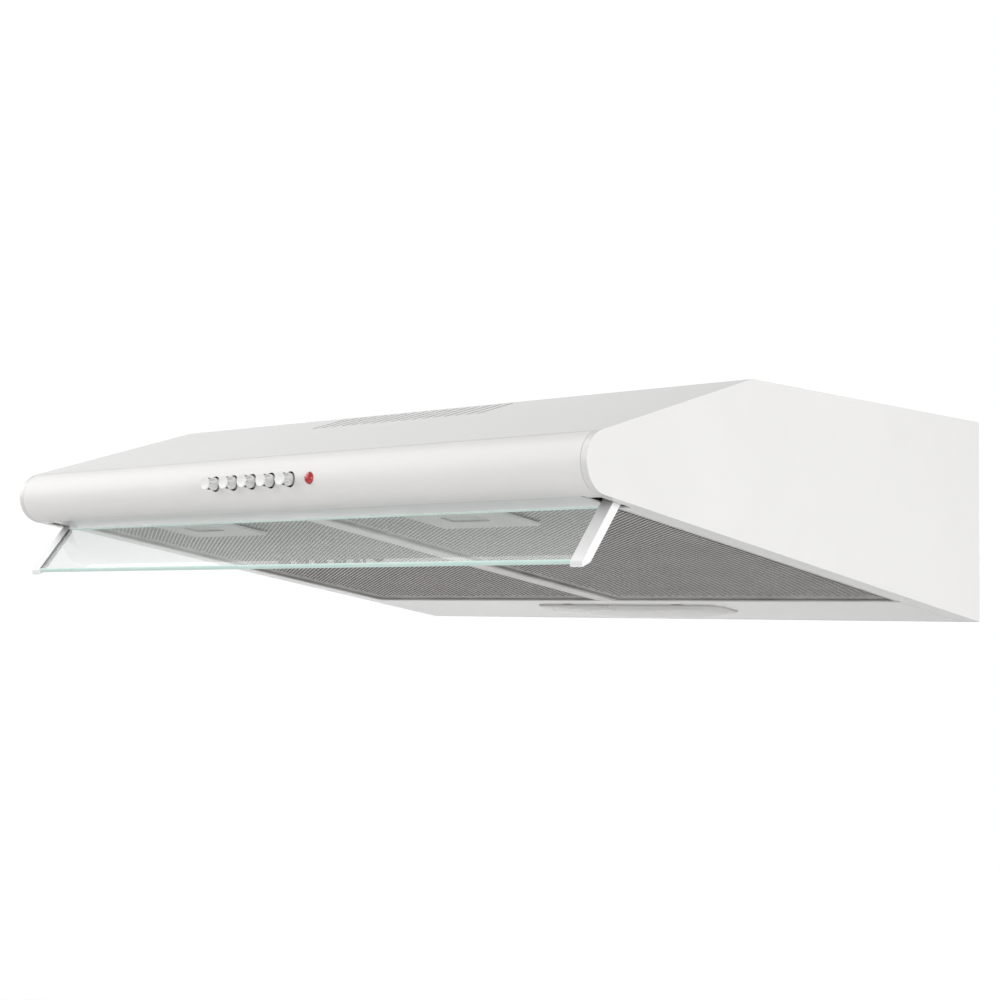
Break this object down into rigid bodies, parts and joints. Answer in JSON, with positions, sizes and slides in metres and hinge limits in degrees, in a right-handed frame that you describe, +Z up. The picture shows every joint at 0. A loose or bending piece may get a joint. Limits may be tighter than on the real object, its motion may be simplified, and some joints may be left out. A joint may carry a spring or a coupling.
{
  "type": "under cabinet range hood",
  "caption": "Slim white under-cabinet range hood with a sloping vented top, rolled front with push buttons, tilting glass visor, hinged grease filters and a lamp diffuser.",
  "frame": {"origin": "on the wall plane, at the middle of the hood's width, at its bottom back edge", "axes": "+X to the hood's right-hand end as seen in the picture's view from the front right, +Y into the wall, +Z up; the front points along -Y"},
  "size_m": [0.598, 0.4925, 0.1814],
  "materials": {
    "body_white": "smooth white enamel, semi-gloss",
    "fascia_white": "smooth warm white enamel, gloss",
    "zinc_steel": "bright zinc plate, satin",
    "button_chrome": "polished chrome with a white face",
    "spring_steel": "drawn spring wire",
    "black_plastic": "moulded, matt",
    "red_lens": "clear red, glossy",
    "filter_aluminium": "expanded mesh, satin",
    "latch_grey": "light grey, satin",
    "arm_white": "white, semi-gloss",
    "visor_clear": "clear with green edges",
    "diffuser_white": "milky translucent",
    "reflector_bright": "bright sheet",
    "holder_ceramic": "glazed, off-white",
    "bulb_glass": "clear",
    "motor_steel": "grey enamel",
    "capacitor_white": "moulded, smooth",
    "charcoal_black": "coarse black fibre",
    "wire_white": "sheathed wires, matt"
  },
  "bodies": {
    "housing": {"back_panel": "zinc_steel", "cable_gland": "black_plastic", "capacitor": "capacitor_white", "charcoal_filter": "charcoal_black", "cover_screws": "zinc_steel", "damper_pin": "zinc_steel", "filter_divider": "filter_aluminium", "front_fascia": "fascia_white", "front_rail": "body_white", "indicator_lens": "red_lens", "inlet_grille": "black_plastic", "lamp_bulb": "bulb_glass", "lamp_holder": "holder_ceramic", "lamp_reflector": "reflector_bright", "motor_body": "motor_steel", "motor_bracket": "zinc_steel", "outlet_collar": "black_plastic", "outlet_plenum": "zinc_steel", "rear_bottom_panel": "body_white", "scroll_housing": "black_plastic", "side_panel_left": "body_white", "side_panel_right": "body_white", "spring_high": "spring_steel", "spring_lamp": "spring_steel", "spring_low": "spring_steel", "spring_medium": "spring_steel", "spring_off": "spring_steel", "switch_block": "black_plastic", "switch_bracket": "zinc_steel", "terminal_box": "black_plastic", "terminal_lid": "black_plastic", "top_cover": "body_white", "visor_hinge_blocks": "zinc_steel", "visor_pins": "zinc_steel", "wire_harness": "wire_white"},
    "visor": {"visor_glass": "visor_clear", "visor_arm_left": "arm_white", "visor_arm_right": "arm_white"},
    "filter_left": {"filter_frame_left": "filter_aluminium", "filter_mesh_left": "filter_aluminium", "latch_plate_left": "latch_grey", "latch_spring_left": "spring_steel"},
    "filter_right": {"filter_frame_right": "filter_aluminium", "filter_mesh_right": "filter_aluminium", "latch_plate_right": "latch_grey", "latch_spring_right": "spring_steel"},
    "latch_left": {"filter_latch_left": "latch_grey"},
    "latch_right": {"filter_latch_right": "latch_grey"},
    "lamp_cover": {"lamp_lens": "diffuser_white"},
    "fan": {"fan_wheel": "black_plastic", "motor_shaft": "zinc_steel"},
    "damper_front": {"damper_flap_front": "black_plastic"},
    "damper_rear": {"damper_flap_rear": "black_plastic"},
    "diverter": {"diverter_flap": "zinc_steel", "diverter_lever": "black_plastic"},
    "button_lamp": {"button_lamp": "button_chrome"},
    "button_low": {"button_low": "button_chrome"},
    "button_medium": {"button_medium": "button_chrome"},
    "button_high": {"button_high": "button_chrome"},
    "button_off": {"button_off": "button_chrome"}
  },
  "joints": [
    {"name": "button_lamp_press", "type": "slide", "parent": "housing", "child": "button_lamp", "axis": [0, 1, 0], "range_m": [0, 0.003], "stiffness_N_per_m": 400, "springref_m": -0.001, "deforming": ["spring_lamp"]},
    {"name": "button_low_press", "type": "slide", "parent": "housing", "child": "button_low", "axis": [0, 1, 0], "range_m": [0, 0.003], "stiffness_N_per_m": 400, "springref_m": -0.001, "deforming": ["spring_low"]},
    {"name": "button_medium_press", "type": "slide", "parent": "housing", "child": "button_medium", "axis": [0, 1, 0], "range_m": [0, 0.003], "stiffness_N_per_m": 400, "springref_m": -0.001, "deforming": ["spring_medium"]},
    {"name": "button_high_press", "type": "slide", "parent": "housing", "child": "button_high", "axis": [0, 1, 0], "range_m": [0, 0.003], "stiffness_N_per_m": 400, "springref_m": -0.001, "deforming": ["spring_high"]},
    {"name": "button_off_press", "type": "slide", "parent": "housing", "child": "button_off", "axis": [0, 1, 0], "range_m": [0, 0.003], "stiffness_N_per_m": 400, "springref_m": -0.001, "deforming": ["spring_off"]},
    {"name": "visor_tilt", "type": "hinge", "parent": "housing", "child": "visor", "pos_m": [0, -0.44101, 0.07116], "axis": [1, 0, 0], "range_deg": [-8, 55]},
    {"name": "filter_left_swing", "type": "hinge", "parent": "housing", "child": "filter_left", "pos_m": [-0.145, -0.0922, 0.01426], "axis": [1, 0, 0], "range_deg": [0, 65]},
    {"name": "latch_left_slide", "type": "slide", "parent": "filter_left", "child": "latch_left", "axis": [0, 0.9886, -0.1507], "range_m": [0, 0.005], "stiffness_N_per_m": 300, "springref_m": -0.002, "deforming": ["latch_spring_left"]},
    {"name": "filter_right_swing", "type": "hinge", "parent": "housing", "child": "filter_right", "pos_m": [0.145, -0.0922, 0.01426], "axis": [1, 0, 0], "range_deg": [0, 65]},
    {"name": "latch_right_slide", "type": "slide", "parent": "filter_right", "child": "latch_right", "axis": [0, 0.9886, -0.1507], "range_m": [0, 0.005], "stiffness_N_per_m": 300, "springref_m": -0.002, "deforming": ["latch_spring_right"]},
    {"name": "lamp_cover_swing", "type": "hinge", "parent": "housing", "child": "lamp_cover", "pos_m": [0, -0.07556, 0.01395], "axis": [-1, 0, 0], "range_deg": [0, 75]},
    {"name": "fan_spin", "type": "hinge", "parent": "housing", "child": "fan", "pos_m": [-0.178, -0.165, 0.12], "axis": [0, 0, 1], "continuous": true},
    {"name": "damper_front_lift", "type": "hinge", "parent": "housing", "child": "damper_front", "pos_m": [0, -0.105, 0.1622], "axis": [-1, 0, 0], "range_deg": [0, 75]},
    {"name": "damper_rear_lift", "type": "hinge", "parent": "housing", "child": "damper_rear", "pos_m": [0, -0.105, 0.1622], "axis": [1, 0, 0], "range_deg": [0, 75]},
    {"name": "diverter_turn", "type": "hinge", "parent": "housing", "child": "diverter", "pos_m": [0, -0.172, 0.149], "axis": [-1, 0, 0], "range_deg": [0, 75]}
  ]
}
